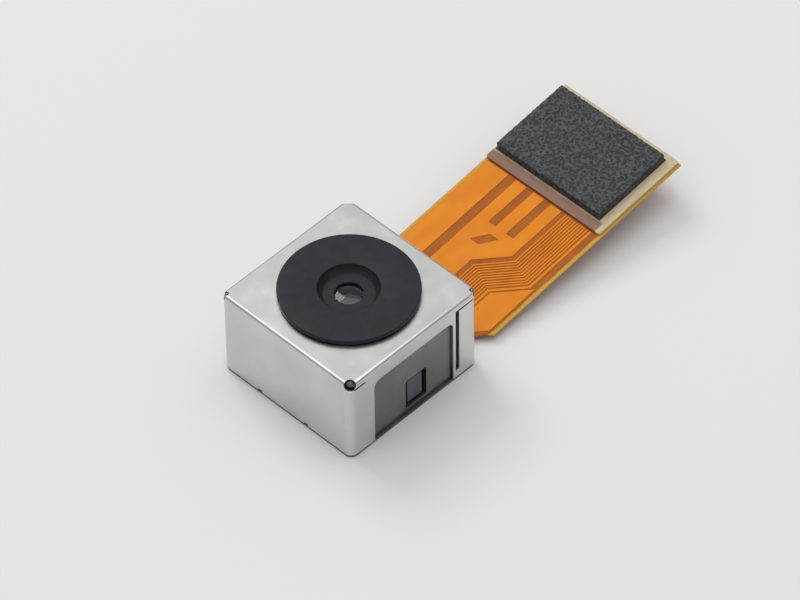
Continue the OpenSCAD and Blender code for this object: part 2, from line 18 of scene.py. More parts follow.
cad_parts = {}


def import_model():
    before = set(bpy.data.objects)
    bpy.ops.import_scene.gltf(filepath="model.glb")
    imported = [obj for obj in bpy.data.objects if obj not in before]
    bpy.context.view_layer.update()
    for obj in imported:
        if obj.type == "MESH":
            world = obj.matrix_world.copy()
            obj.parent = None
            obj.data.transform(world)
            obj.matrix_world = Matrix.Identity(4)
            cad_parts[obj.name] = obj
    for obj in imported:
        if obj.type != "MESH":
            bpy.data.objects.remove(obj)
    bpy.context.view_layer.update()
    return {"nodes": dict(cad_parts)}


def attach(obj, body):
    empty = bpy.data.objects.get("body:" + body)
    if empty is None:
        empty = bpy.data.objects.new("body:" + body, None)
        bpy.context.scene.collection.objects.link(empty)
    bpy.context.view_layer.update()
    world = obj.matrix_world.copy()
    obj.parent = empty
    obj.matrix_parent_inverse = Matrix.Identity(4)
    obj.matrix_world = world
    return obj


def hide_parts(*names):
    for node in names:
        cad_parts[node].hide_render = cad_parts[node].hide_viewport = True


LOG = logging.getLogger("camera_module")
MM = 0.001

Point = tuple[float, float, float]
Flat = tuple[float, float]
Colour = tuple[float, float, float, float]


class Body(Enum):
    """The moving bodies of the frame."""

    HOUSING = "housing"
    LENS = "lens"


class Slot(Enum):
    """Material slots of the part's record."""

    CAN_SHEET = "can_sheet"
    YOKE_STEEL = "yoke_steel"
    PLATE_STEEL = "plate_steel"
    MAGNET = "magnet"
    MOULDING = "moulding"
    SPRING_ALLOY = "spring_alloy"
    CONTACT_GOLD = "contact_gold"
    ANCHOR_METAL = "anchor_metal"
    FILTER_GLASS = "filter_glass"
    SILICON = "silicon"
    BOARD_LAMINATE = "board_laminate"
    CHIP_BLACK = "chip_black"
    CERAMIC = "ceramic"
    POLYIMIDE = "polyimide"
    TRACE_COPPER = "trace_copper"
    STIFFENER_FILM = "stiffener_film"
    ADHESIVE = "adhesive"
    FOAM = "foam"
    CONNECTOR_RESIN = "connector_resin"
    BARREL_BLACK = "barrel_black"
    COIL_WIRE = "coil_wire"
    LENS_GLASS = "lens_glass"
    BLACKOUT_FILM = "blackout_film"


class Element(Enum):
    """What a selection picks in edit mode."""

    VERT = "VERT"
    EDGE = "EDGE"
    FACE = "FACE"


# --- Modelling


def clear_selection() -> None:
    """Leaves edit mode and deselects every object."""
    if bpy.context.mode != "OBJECT":
        bpy.ops.object.mode_set(mode="OBJECT")
    bpy.ops.object.select_all(action="DESELECT")


class Piece:
    """One mesh piece on the bench, worked in millimetres with Blender's own operators."""

    def __init__(self, obj: bpy.types.Object, name: str) -> None:
        """Takes over a new primitive.

        Args:
            obj: The object that the primitive operator made.
            name: The piece's name.
        """
        self.obj = obj
        obj.name = name
        obj.data.name = name

    @classmethod
    def box(cls, name: str, low: Point, high: Point) -> "Piece":
        """Starts from a cube between two corners.

        Args:
            name: The piece's name.
            low: Lowest corner.
            high: Highest corner.

        Returns:
            The new piece.
        """
        clear_selection()
        middle = [(a + b) / 2 for a, b in zip(low, high)]
        bpy.ops.mesh.primitive_cube_add(size=1, location=middle)
        piece = cls(bpy.context.object, name)
        piece.obj.scale = [b - a for a, b in zip(low, high)]
        bpy.ops.object.transform_apply(location=True, rotation=True, scale=True)
        return piece

    @classmethod
    def rod(cls, name: str, radius: float, low: float, high: float, sides: int = 96) -> "Piece":
        """Starts from a cylinder on the optical axis.

        Args:
            name: The piece's name.
            radius: Radius of the rod.
            low: Lower end.
            high: Upper end.
            sides: Number of sides.

        Returns:
            The new piece.
        """
        clear_selection()
        bpy.ops.mesh.primitive_cylinder_add(
            vertices=sides, radius=radius, depth=high - low, location=(0, 0, (low + high) / 2)
        )
        piece = cls(bpy.context.object, name)
        bpy.ops.object.transform_apply(location=True, rotation=True, scale=True)
        return piece

    @classmethod
    def ball(cls, name: str, centre: Point, radius: float) -> "Piece":
        """Starts from a sphere.

        Args:
            name: The piece's name.
            centre: Its centre.
            radius: Its radius.

        Returns:
            The new piece.
        """
        clear_selection()
        bpy.ops.mesh.primitive_uv_sphere_add(segments=32, ring_count=16, radius=radius, location=centre)
        piece = cls(bpy.context.object, name)
        bpy.ops.object.transform_apply(location=True, rotation=True, scale=True)
        return piece

    @classmethod
    def line(cls, name: str, points: Sequence[Point]) -> "Piece":
        """Draws a chain of edges: one vertex, extruded from point to point.

        Args:
            name: The piece's name.
            points: The points in order.

        Returns:
            The new piece, in edit mode with all of it selected.
        """
        clear_selection()
        bpy.ops.mesh.primitive_plane_add(size=1)
        piece = cls(bpy.context.object, name)
        bpy.ops.object.mode_set(mode="EDIT")
        bpy.ops.mesh.select_mode(type="VERT")
        bpy.ops.mesh.select_all(action="SELECT")
        bpy.ops.mesh.merge(type="CENTER")
        bpy.ops.transform.translate(value=points[0])
        for a, b in zip(points, points[1:]):
            step = [q - p for p, q in zip(a, b)]
            bpy.ops.mesh.extrude_region_move(TRANSFORM_OT_translate={"value": step})
        bpy.ops.mesh.select_all(action="SELECT")
        return piece

    @classmethod
    def outline(cls, name: str, points: Sequence[Flat], low: float, high: float) -> "Piece":
        """Fills a flat outline and extrudes it to a plate.

        Args:
            name: The piece's name.
            points: The outline's corners in the XY plane.
            low: Height of the plate's underside.
            high: Height of its top.

        Returns:
            The new piece.
        """
        piece = cls.line(name, [(x, y, low) for x, y in points])
        bpy.ops.mesh.edge_face_add()
        bpy.ops.mesh.extrude_region_move(TRANSFORM_OT_translate={"value": (0, 0, high - low)})
        piece.face_outwards()
        return piece

    @classmethod
    def turned(cls, name: str, profile: Sequence[Flat], steps: int = 128, closed: bool = True) -> "Piece":
        """Spins a profile round the optical axis, as on a lathe.

        Args:
            name: The piece's name.
            profile: Radius and height of each point.
            steps: Number of steps in the turn.
            closed: Whether the profile's last point joins its first.

        Returns:
            The new piece.
        """
        points = [(r, 0.0, z) for r, z in profile]
        piece = cls.line(name, points + points[:1] if closed else points)
        bpy.ops.mesh.remove_doubles(threshold=1e-5)
        bpy.ops.mesh.spin(steps=steps, angle=math.tau, center=(0, 0, 0), axis=(0, 0, 1))
        bpy.ops.mesh.select_all(action="SELECT")
        bpy.ops.mesh.remove_doubles(threshold=1e-4)
        piece.face_outwards()
        return piece

    def face_outwards(self) -> "Piece":
        """Turns every face outwards and leaves edit mode.

        Returns:
            The same piece.
        """
        self.edit()
        bpy.ops.mesh.select_all(action="SELECT")
        bpy.ops.mesh.normals_make_consistent(inside=False)
        bpy.ops.object.mode_set(mode="OBJECT")
        return self

    def activate(self) -> None:
        """Makes this piece the one that operators act on."""
        if bpy.context.object is not self.obj or bpy.context.mode == "OBJECT":
            clear_selection()
            self.obj.select_set(True)
            bpy.context.view_layer.objects.active = self.obj

    def edit(self) -> None:
        """Opens the piece in edit mode."""
        self.activate()
        if bpy.context.mode != "EDIT_MESH":
            bpy.ops.object.mode_set(mode="EDIT")

    def pick(self, element: Element, test: Callable[[Any], bool]) -> int:
        """Selects by place or normal, and nothing else.

        Args:
            element: Whether vertices, edges or faces are picked.
            test: Says of one of them whether it is picked.

        Returns:
            How many were picked.
        """
        self.edit()
        bpy.ops.mesh.select_mode(type=element.value)
        bpy.ops.mesh.select_all(action="DESELECT")
        mesh = bmesh.from_edit_mesh(self.obj.data)
        found = {Element.VERT: mesh.verts, Element.EDGE: mesh.edges, Element.FACE: mesh.faces}[element]
        chosen = [e for e in found if test(e)]
        for e in chosen:
            e.select_set(True)
        mesh.select_flush_mode()
        bmesh.update_edit_mesh(self.obj.data)
        return len(chosen)

    def bevel(self, test: Callable[[Any], bool], width: float, segments: int) -> "Piece":
        """Rounds the edges that the test picks.

        Args:
            test: Says of an edge whether it is rounded.
            width: Radius of the round.
            segments: Facets across it.

        Returns:
            The same piece.
        """
        if self.pick(Element.EDGE, test):
            bpy.ops.mesh.bevel(offset=width, offset_type="OFFSET", segments=segments, affect="EDGES")
        bpy.ops.object.mode_set(mode="OBJECT")
        return self

    def extrude(self, test: Callable[[Any], bool], step: Point) -> "Piece":
        """Extrudes the faces that the test picks.

        Args:
            test: Says of a face whether it is extruded.
            step: How far it moves.

        Returns:
            The same piece.
        """
        self.pick(Element.FACE, test)
        bpy.ops.mesh.extrude_region_move(TRANSFORM_OT_translate={"value": step})
        bpy.ops.object.mode_set(mode="OBJECT")
        return self

    def delete_faces(self, test: Callable[[Any], bool]) -> "Piece":
        """Removes the faces that the test picks.

        Args:
            test: Says of a face whether it goes.

        Returns:
            The same piece.
        """
        self.pick(Element.FACE, test)
        bpy.ops.mesh.delete(type="FACE")
        bpy.ops.object.mode_set(mode="OBJECT")
        return self

    def modify(self, kind: str, **settings: Any) -> "Piece":
        """Adds a modifier and applies it.

        Args:
            kind: The modifier's type.
            **settings: Its settings.

        Returns:
            The same piece.
        """
        clear_selection()
        self.activate()
        modifier = self.obj.modifiers.new(kind.title(), kind)
        for key, value in settings.items():
            setattr(modifier, key, value)
        bpy.ops.object.modifier_apply(modifier=modifier.name)
        return self

    def cut(self, *cutters: "Piece") -> "Piece":
        """Cuts the shapes of other pieces out of this one and removes them.

        Args:
            *cutters: The cutting pieces.

        Returns:
            The same piece.
        """
        for cutter in cutters:
            self.modify("BOOLEAN", object=cutter.obj, operation="DIFFERENCE", solver="EXACT")
            bpy.data.objects.remove(cutter.obj)
        return self

    def put(self, matrix: Matrix) -> "Piece":
        """Moves the mesh by a matrix and leaves the object at the origin.

        Args:
            matrix: Where the piece goes.

        Returns:
            The same piece.
        """
        clear_selection()
        self.activate()
        self.obj.matrix_world = matrix @ self.obj.matrix_world
        bpy.ops.object.transform_apply(location=True, rotation=True, scale=True)
        return self

    def join(self, others: Iterable["Piece"]) -> "Piece":
        """Joins other pieces into this one.

        Args:
            others: The pieces that it takes in.

        Returns:
            The same piece.
        """
        clear_selection()
        for other in others:
            other.obj.select_set(True)
        self.obj.select_set(True)
        bpy.context.view_layer.objects.active = self.obj
        bpy.ops.object.join()
        return self

    def copy(self, name: str) -> "Piece":
        """Copies the piece with a mesh of its own.

        Args:
            name: The copy's name.

        Returns:
            The copy.
        """
        twin = self.obj.copy()
        twin.data = self.obj.data.copy()
        bpy.context.scene.collection.objects.link(twin)
        return Piece(twin, name)

    def soften(self, width: float, segments: int = 2, angle: float = 35) -> "Piece":
        """Rounds every sharp edge a little.

        Args:
            width: Radius of the round.
            segments: Facets across it.
            angle: Least turn of an edge that is rounded, in degrees.

        Returns:
            The same piece.
        """
        return self.modify(
            "BEVEL", width=width, segments=segments, limit_method="ANGLE", angle_limit=math.radians(angle),
            use_clamp_overlap=True, miter_outer="MITER_ARC",
        )

    def settle(
        self, finish: bpy.types.Material, slot: Slot, body: Body, nodes: Sequence[str] = (), angle: float = 40
    ) -> bpy.types.Object:
        """Brings the piece to metres, smooths it, paints it and mounts it on its body.

        Args:
            finish: Its material.
            slot: The record's slot; not used.
            body: The body that it rides on.
            nodes: The CAD nodes that it stands for.
            angle: Edges that turn by less are shaded smooth, in degrees.

        Returns:
            The finished object.
        """
        self.put(Matrix.Scale(MM, 4))
        bpy.ops.object.shade_smooth_by_angle(angle=math.radians(angle))
        self.modify("WEIGHTED_NORMAL", mode="FACE_AREA", weight=90, keep_sharp=True)
        self.obj.data.materials.clear()
        self.obj.data.materials.append(finish)
        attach(self.obj, body.value)
        if nodes:
            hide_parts(*nodes)
        return self.obj


def at(value: float, target: float, play: float = 1e-3) -> bool:
    """Whether a size is at a target, within a little play.

    Args:
        value: The size.
        target: What it should be.
        play: How far off it may be.

    Returns:
        True if it is.
    """
    return abs(value - target) < play


def upright(edge: Any) -> bool:
    """Whether an edge stands along Z.

    Args:
        edge: An edge in edit mode.

    Returns:
        True if it does.
    """
    a, b = (v.co for v in edge.verts)
    return at(a.x, b.x) and at(a.y, b.y) and not at(a.z, b.z)


# --- Shader nodes


class Wire:
    """A shader socket that can be used in an expression."""

    def __init__(self, graph: "Graph", socket: bpy.types.NodeSocket) -> None:
        """Wraps an output socket.

        Args:
            graph: The graph that the socket belongs to.
            socket: The socket.
        """
        self.graph = graph
        self.socket = socket

    def _math(self, operation: str, *values: Any) -> "Wire":
        """Adds a Math node.

        Args:
            operation: The node's operation.
            *values: Its inputs.

        Returns:
            The result.
        """
        node = self.graph.node("ShaderNodeMath", {"operation": operation}, dict(enumerate(values)))
        return Wire(self.graph, node.outputs[0])

    def __add__(self, other: Any) -> "Wire":
        return self._math("ADD", self, other)

    __radd__ = __add__

    def __sub__(self, other: Any) -> "Wire":
        return self._math("SUBTRACT", self, other)

    def __rsub__(self, other: Any) -> "Wire":
        return self._math("SUBTRACT", other, self)

    def __mul__(self, other: Any) -> "Wire":
        return self._math("MULTIPLY", self, other)

    __rmul__ = __mul__

    def __truediv__(self, other: Any) -> "Wire":
        return self._math("DIVIDE", self, other)

    def __pow__(self, other: Any) -> "Wire":
        return self._math("POWER", self, other)

    def absolute(self) -> "Wire":
        """The value without its sign.

        Returns:
            The result.
        """
        return self._math("ABSOLUTE", self)

    def least(self, other: Any) -> "Wire":
        """The lower of two values.

        Args:
            other: The other value.

        Returns:
            The result.
        """
        return self._math("MINIMUM", self, other)

    def most(self, other: Any) -> "Wire":
        """The higher of two values.

        Args:
            other: The other value.

        Returns:
            The result.
        """
        return self._math("MAXIMUM", self, other)

    def spread(self, low: float, high: float, out_low: float = 0, out_high: float = 1) -> "Wire":
        """Maps a range smoothly onto another and stays inside it.

        Args:
            low: Value that gives out_low.
            high: Value that gives out_high.
            out_low: Result at the low end.
            out_high: Result at the high end.

        Returns:
            The result.
        """
        node = self.graph.node(
            "ShaderNodeMapRange",
            {"interpolation_type": "SMOOTHSTEP"},
            {0: self, 1: low, 2: high, 3: out_low, 4: out_high},
        )
        return Wire(self.graph, node.outputs[0])


class Graph:
    """The nodes of one material."""

    def __init__(self, name: str) -> None:
        """Starts a material with an empty tree.

        Args:
            name: The material's name.
        """
        self.material = bpy.data.materials.new(name)
        self.material.use_nodes = True
        self.tree = self.material.node_tree
        self.tree.nodes.clear()

    def node(self, kind: str, settings: dict | None = None, inputs: dict | None = None) -> bpy.types.Node:
        """Makes any node.

        Args:
            kind: The node's type.
            settings: Its settings, set first; "stops" are a ramp's places and colours.
            inputs: A value or a wire for each socket, by name or number.

        Returns:
            The node.
        """
        node = self.tree.nodes.new(kind)
        for key, value in (settings or {}).items():
            if key == "stops":
                ramp = node.color_ramp
                while len(ramp.elements) < len(value):
                    ramp.elements.new(0.5)
                for stop, (place, colour) in zip(ramp.elements, value):
                    stop.position, stop.color = place, colour
            else:
                setattr(node, key, value)
        for key, value in (inputs or {}).items():
            if isinstance(value, Wire):
                self.tree.links.new(value.socket, node.inputs[key])
            else:
                node.inputs[key].default_value = value
        return node

    def place(self, stretch: Point = (1, 1, 1), shift: Point = (0, 0, 0), turn: Point = (0, 0, 0)) -> Wire:
        """Object coordinates in millimetres.

        Args:
            stretch: Scale along each axis.
            shift: Added to the place, in millimetres.
            turn: Turned by these angles.

        Returns:
            The place as a vector.
        """
        source = self.node("ShaderNodeTexCoord")
        scale = [s / MM for s in stretch]
        mapping = self.node(
            "ShaderNodeMapping",
            {"vector_type": "POINT"},
            {"Vector": Wire(self, source.outputs["Object"]), "Location": shift, "Rotation": turn, "Scale": scale},
        )
        return Wire(self, mapping.outputs[0])

    def axes(self, place: Wire) -> tuple[Wire, Wire, Wire]:
        """Splits a place into its three axes.

        Args:
            place: The place.

        Returns:
            X, Y and Z.
        """
        split = self.node("ShaderNodeSeparateXYZ", None, {0: place})
        return tuple(Wire(self, s) for s in split.outputs)

    def noise(self, place: Wire, scale: float, detail: float = 3, roughness: float = 0.5) -> Wire:
        """Fractal noise from about 0 to 1.

        Args:
            place: Where it is read.
            scale: Features per millimetre.
            detail: Octaves.
            roughness: Strength of the finer octaves.

        Returns:
            The noise.
        """
        node = self.node(
            "ShaderNodeTexNoise", None, {"Vector": place, "Scale": scale, "Detail": detail, "Roughness": roughness}
        )
        return Wire(self, node.outputs["Fac"])

    def cells(self, place: Wire, scale: float, feature: str = "F1") -> Wire:
        """Distance in a field of cells.

        Args:
            place: Where it is read.
            scale: Cells per millimetre.
            feature: Which distance.

        Returns:
            The distance.
        """
        node = self.node("ShaderNodeTexVoronoi", {"feature": feature}, {"Vector": place, "Scale": scale})
        return Wire(self, node.outputs["Distance"])

    def mix(self, share: Any, first: Any, second: Any) -> Wire:
        """Mixes two colours.

        Args:
            share: Share of the second.
            first: First colour.
            second: Second colour.

        Returns:
            The colour.
        """
        node = self.node("ShaderNodeMix", {"data_type": "RGBA"}, {0: share, 6: first, 7: second})
        return Wire(self, node.outputs[2])

    def bump(self, height: Wire, depth: float, strength: float = 1.0) -> Wire:
        """A normal from a height.

        Args:
            height: The height, about 0 to 1.
            depth: Its depth in millimetres.
            strength: How much of it shows.

        Returns:
            The normal.
        """
        node = self.node("ShaderNodeBump", None, {"Height": height, "Distance": depth * MM, "Strength": strength})
        return Wire(self, node.outputs[0])

    def surface(self, **inputs: Any) -> bpy.types.Material:
        """Ends the material with a Principled surface.

        Args:
            **inputs: Values or wires, with spaces in a socket's name written as underscores.

        Returns:
            The material.
        """
        named = {key.replace("_", " "): value for key, value in inputs.items()}
        shader = self.node("ShaderNodeBsdfPrincipled", None, named)
        self.node("ShaderNodeOutputMaterial", None, {0: Wire(self, shader.outputs[0])})
        return self.material


def shade(red: float, green: float, blue: float) -> Colour:
    """A colour from screen values of 0 to 255.

    Args:
        red: Red.
        green: Green.
        blue: Blue.

    Returns:
        The linear colour with full alpha.
    """

    def linear(value: float) -> float:
        share = value / 255
        return share / 12.92 if share <= 0.04045 else ((share + 0.055) / 1.055) ** 2.4

    return (linear(red), linear(green), linear(blue), 1.0)


# --- Finishes


@dataclass(frozen=True)
class SheetMetal:
    """Rolled sheet with a fine grain and a faintly uneven reflection."""

    name: str
    colour: Colour
    tint: Colour
    roughness: float = 0.3
    grain: float = 0.05
    waviness: float = 0.006

    def make(self) -> bpy.types.Material:
        """Builds the material.

        Returns:
            The material.
        """
        graph = Graph(self.name)
        grain = graph.noise(graph.place(stretch=(14, 0.7, 14)), 1.6, 4, 0.6)
        cloud = graph.noise(graph.place(), 0.35, 2, 0.5)
        smudge = graph.noise(graph.place(shift=(3, 7, 1)), 0.9, 5, 0.65).spread(0.45, 0.7)
        wave = graph.noise(graph.place(shift=(9, 2, 5)), 0.22, 1, 0.4)
        height = grain * 0.12 + wave
        return graph.surface(
            Base_Color=graph.mix(cloud.spread(0.3, 0.7), self.colour, self.tint),
            Metallic=1.0,
            Roughness=smudge * self.grain + (grain * self.grain + self.roughness),
            Normal=graph.bump(height, self.waviness),
        )


@dataclass(frozen=True)
class Moulded:
    """Moulded resin or painted barrel with a fine spark-eroded texture."""

    name: str
    colour: Colour
    roughness: float = 0.45
    texture: float = 0.004
    fineness: float = 22.0
    specular: float = 0.5

    def make(self) -> bpy.types.Material:
        """Builds the material.

        Returns:
            The material.
        """
        graph = Graph(self.name)
        pits = graph.noise(graph.place(), self.fineness, 3, 0.6)
        cloud = graph.noise(graph.place(shift=(5, 1, 3)), 1.3, 2, 0.5)
        darker = tuple(c * 0.8 for c in self.colour[:3]) + (1.0,)
        return graph.surface(
            Base_Color=graph.mix(cloud.spread(0.35, 0.7), self.colour, darker),
            Roughness=pits * 0.12 + (self.roughness - 0.06),
            Specular_IOR_Level=self.specular,
            Normal=graph.bump(pits, self.texture),
        )


@dataclass(frozen=True)
class Plated:
    """Plated or drawn metal with a soft grain."""

    name: str
    colour: Colour
    roughness: float = 0.25
    grain: float = 0.002

    def make(self) -> bpy.types.Material:
        """Builds the material.

        Returns:
            The material.
        """
        graph = Graph(self.name)
        grain = graph.noise(graph.place(), 16, 3, 0.55)
        tone = graph.noise(graph.place(shift=(2, 4, 6)), 2.5, 2, 0.5)
        darker = tuple(c * 0.82 for c in self.colour[:3]) + (1.0,)
        return graph.surface(
            Base_Color=graph.mix(tone.spread(0.35, 0.7), self.colour, darker),
            Metallic=1.0,
            Roughness=grain * 0.12 + self.roughness,
            Normal=graph.bump(grain, self.grain),
        )


@dataclass(frozen=True)
class Glass:
    """Moulded lens or coated filter glass."""

    name: str
    colour: Colour
    ior: float = 1.5

    def make(self) -> bpy.types.Material:
        """Builds the material.

        Returns:
            The material.
        """
        graph = Graph(self.name)
        haze = graph.noise(graph.place(), 3, 2, 0.5)
        return graph.surface(
            Base_Color=self.colour,
            Roughness=haze * 0.03,
            Transmission_Weight=1.0,
            IOR=self.ior,
            Coat_Weight=0.0,
        )


@dataclass(frozen=True)
class Circuit:
    """Flexible circuit: amber film, clear at its margins where no adhesive pour backs it."""

    name: str
    colour: Colour
    deep: Colour
    margin: Colour
    left: float
    right: float
    roughness: float = 0.32

    def make(self) -> bpy.types.Material:
        """Builds the material.

        Returns:
            The material.
        """
        graph = Graph(self.name)
        place = graph.place()
        x, _, _ = graph.axes(place)
        edge = (x - self.left).absolute().least((x - self.right).absolute())
        wander = graph.noise(graph.place(stretch=(0.5, 2, 1)), 1.5, 2, 0.5) * 0.12
        film = graph.noise(graph.place(stretch=(3, 0.5, 3)), 0.8, 3, 0.5)
        body = graph.mix(film.spread(0.3, 0.7), self.colour, self.deep)
        speck = graph.noise(graph.place(), 9, 3, 0.6)
        return graph.surface(
            Base_Color=graph.mix((edge + wander).spread(0.22, 0.34), self.margin, body),
            Roughness=speck * 0.1 + self.roughness,
            Specular_IOR_Level=0.14,
            Normal=graph.bump(film + speck * 0.2, 0.004),
        )


@dataclass(frozen=True)
class CoveredCopper:
    """Copper seen through the amber cover film."""

    name: str
    colour: Colour
    bright: Colour
    roughness: float = 0.28

    def make(self) -> bpy.types.Material:
        """Builds the material.

        Returns:
            The material.
        """
        graph = Graph(self.name)
        cloud = graph.noise(graph.place(stretch=(1, 0.6, 1)), 0.7, 3, 0.5)
        speck = graph.noise(graph.place(), 11, 3, 0.6)
        return graph.surface(
            Base_Color=graph.mix(cloud.spread(0.35, 0.7), self.colour, self.bright),
            Metallic=0.0,
            Roughness=speck * 0.12 + self.roughness,
            Specular_IOR_Level=0.16,
            Normal=graph.bump(speck, 0.003),
        )


@dataclass(frozen=True)
class FoamSheet:
    """Open-cell foam with painted shade in its pits, and painted highlight on its paler cell walls and glints."""

    name: str
    colour: Colour
    highlight_grey: Colour
    dark: Colour

    def make(self) -> bpy.types.Material:
        """Builds the material.

        Returns:
            The material.
        """
        graph = Graph(self.name)
        coarse = graph.noise(graph.place(), 3.2, 4, 0.6)
        fine = graph.noise(graph.place(shift=(4, 4, 4)), 9, 3, 0.6)
        # Painted shade and highlight: the cell centres stay darker as pits, and the cell walls are lightened towards
        # the highlight grey.
        cell = graph.cells(graph.place(), 5.5)
        # Painted highlight: scattered glint specks lightened towards the highlight grey.
        painted_glint = graph.noise(graph.place(shift=(1, 8, 2)), 7, 2, 0.5).spread(0.66, 0.76)
        tone = graph.mix(coarse.spread(0.35, 0.65), self.dark, self.colour)
        tone = graph.mix(painted_glint * 0.55, tone, self.highlight_grey)
        return graph.surface(
            Base_Color=graph.mix(cell.spread(0.35, 0.75) * 0.5, tone, self.highlight_grey),
            Roughness=0.92,
            Specular_IOR_Level=0.25,
            Normal=graph.bump(fine + coarse, 0.05, 0.7),
        )


@dataclass(frozen=True)
class BackingFilm:
    """Stiffener film: cream where it is bare, rosy where adhesive shows through beside the foam."""

    name: str
    cream: Colour
    rosy: Colour
    rosy_to: float
    side_from: float

    def make(self) -> bpy.types.Material:
        """Builds the material.

        Returns:
            The material.
        """
        graph = Graph(self.name)
        x, y, _ = graph.axes(graph.place())
        wander = graph.noise(graph.place(), 1.2, 3, 0.5) * 0.25
        near = (y + wander).spread(self.rosy_to - 0.1, self.rosy_to + 0.15)
        side = (x + wander * 0.3).spread(self.side_from - 0.1, self.side_from + 0.1)
        fibre = graph.noise(graph.place(stretch=(6, 0.7, 3)), 1.2, 3, 0.6)
        tone = graph.mix(near.most(side), self.rosy, self.cream)
        darker = graph.mix(0.35, tone, self.rosy)
        return graph.surface(
            Base_Color=graph.mix(fibre.spread(0.4, 0.75), tone, darker),
            Roughness=fibre * 0.15 + 0.35,
            Normal=graph.bump(fibre, 0.004),
        )


@dataclass(frozen=True)
class Floor:
    """Pale table top."""

    name: str
    colour: Colour

    def make(self) -> bpy.types.Material:
        """Builds the material.

        Returns:
            The material.
        """
        graph = Graph(self.name)
        return graph.surface(Base_Color=self.colour, Roughness=0.85, Specular_IOR_Level=0.2)


# --- The module's pieces


@dataclass
class FoldedBox:
    """Square box of folded sheet, open below."""

    width: float
    corner_r: float
    fold_r: float
    foot: float
    top: float
    sheet: float

    def shell(self, name: str) -> Piece:
        """Folds the plain box.

        Args:
            name: The piece's name.

        Returns:
            The box with its wall thickness.
        """
        half = self.width / 2
        box = Piece.box(name, (-half, -half, self.foot), (half, half, self.top))
        box.bevel(upright, self.corner_r, 8)
        box.bevel(lambda e: all(at(v.co.z, self.top) for v in e.verts), self.fold_r, 6)
        box.delete_faces(lambda f: f.normal.z < -0.9)
        return box.modify("SOLIDIFY", thickness=self.sheet, offset=-1, use_even_offset=True)


@dataclass
class ShieldCan(FoldedBox):
    """Outer shield can with its lens port, side cut-out, slit, seams and corner reliefs."""

    width: float = 10.5
    corner_r: float = 0.5
    fold_r: float = 0.2
    foot: float = 0.2
    top: float = 6.3
    sheet: float = 0.12
    port_r: float = 3.4
    cutout: tuple[float, float, float] = (-3.3, 3.2, 5.15)
    cutout_r: float = 0.5
    slit: tuple[float, float, float] = (3.4, 3.7, 0.75)
    seam: tuple[float, float] = (5.7, 5.84)
    short_seam_end: float = -4.0
    relief_r: float = 0.36
    exit: tuple[float, float, float] = (-4.75, 3.25, 0.5)

    def cut_window(self) -> Piece:
        """The side cut-out's cutter, with round upper corners.

        Returns:
            The cutter.
        """
        half = self.width / 2
        left, right, top = self.cutout
        window = Piece.box("side_cut", (half - 0.6, left, self.foot - 0.5), (half + 0.5, right, top))
        return window.bevel(
            lambda e: all(at(v.co.z, top) for v in e.verts) and at(e.verts[0].co.y, e.verts[1].co.y), self.cutout_r, 8
        )

    def seams(self) -> list[Piece]:
        """The slit and the seams of the flanges that wrap the corners.

        Returns:
            The cutters.
        """
        face = self.width / 2
        low, high = face - self.sheet - 0.1, face + 0.5
        return [
            Piece.box("slit", (low, self.slit[0], self.slit[2]), (high, self.slit[1], self.seam[1])),
            Piece.box("long_seam", (low, self.slit[1] - 0.01, self.seam[0]), (high, face + 0.5, self.seam[1])),
            Piece.box("short_seam", (low, -face - 0.5, self.seam[0]), (high, self.short_seam_end, self.seam[1])),
        ]

    def reliefs(self) -> list[Piece]:
        """The round reliefs in three corners and the flat cut in the fourth.

        Returns:
            The cutters.
        """
        near = self.width / 2 - 0.25
        spots = ((1, -1, 1.0), (-1, -1, 0.7), (1, 1, 0.7))
        balls = [
            Piece.ball("relief", (sx * near, sy * near, self.top - 0.2), self.relief_r * size) for sx, sy, size in spots
        ]
        flat = Piece.box("flat_corner", (-0.475, -0.475, -0.6), (0.475, 0.475, 0.6))
        corner = Matrix.Translation((-self.width / 2, self.width / 2, self.top))
        return balls + [flat.put(corner @ Matrix.Rotation(math.radians(45), 4, "Z"))]

    def openings(self) -> list[Piece]:
        """The lens port, the tail's exit and the two small notches.

        Returns:
            The cutters.
        """
        half = self.width / 2
        left, right, high = self.exit
        cutters = [
            Piece.rod("port", self.port_r, self.top - 0.5, self.top + 0.5, 160),
            Piece.box("tail_exit", (left, half - 1, self.foot - 0.5), (right, half + 1, high)),
        ]
        for x in (-2.2, 1.55):
            cutters.append(Piece.box("notch", (x - 0.175, -half - 0.5, self.foot - 0.5), (x + 0.175, -half + 0.5, 0.35)))
        return cutters

    def build(self) -> Piece:
        """Folds and cuts the can.

        Returns:
            The can.
        """
        can = self.shell("shield_can_sheet")
        can.cut(*self.openings(), self.cut_window(), *self.seams(), *self.reliefs())
        return can.soften(0.02, 2, 32)


@dataclass
class Yoke(FoldedBox):
    """Magnet yoke under the can, with a snap window in each of two opposite sides."""

    width: float = 10.1
    corner_r: float = 0.5
    fold_r: float = 0.3
    foot: float = 0.2
    top: float = 6.08
    sheet: float = 0.25
    port_r: float = 3.4
    window: tuple[float, float, float, float] = (-0.55, 1.15, 0.5, 2.8)
    exit: tuple[float, float, float] = (-4.75, 3.25, 0.5)

    def build(self) -> Piece:
        """Folds and cuts the yoke.

        Returns:
            The yoke.
        """
        half = self.width / 2
        yoke = self.shell("yoke_shell")
        low_y, high_y, low_z, high_z = self.window
        left, right, high = self.exit
        cutters = [
            Piece.rod("yoke_port", self.port_r, self.top - 0.6, self.top + 0.5, 160),
            Piece.box("yoke_exit", (left, half - 1, self.foot - 0.5), (right, half + 1, high)),
        ]
        for side in (-1, 1):
            window = Piece.box(
                "snap_window", (side * half - 0.6, low_y, low_z), (side * half + 0.6, high_y, high_z)
            )
            cutters.append(window.bevel(lambda e: at(e.verts[0].co.y, e.verts[1].co.y) and at(e.verts[0].co.z, e.verts[1].co.z), 0.12, 4))
        return yoke.cut(*cutters).soften(0.03, 3, 32)


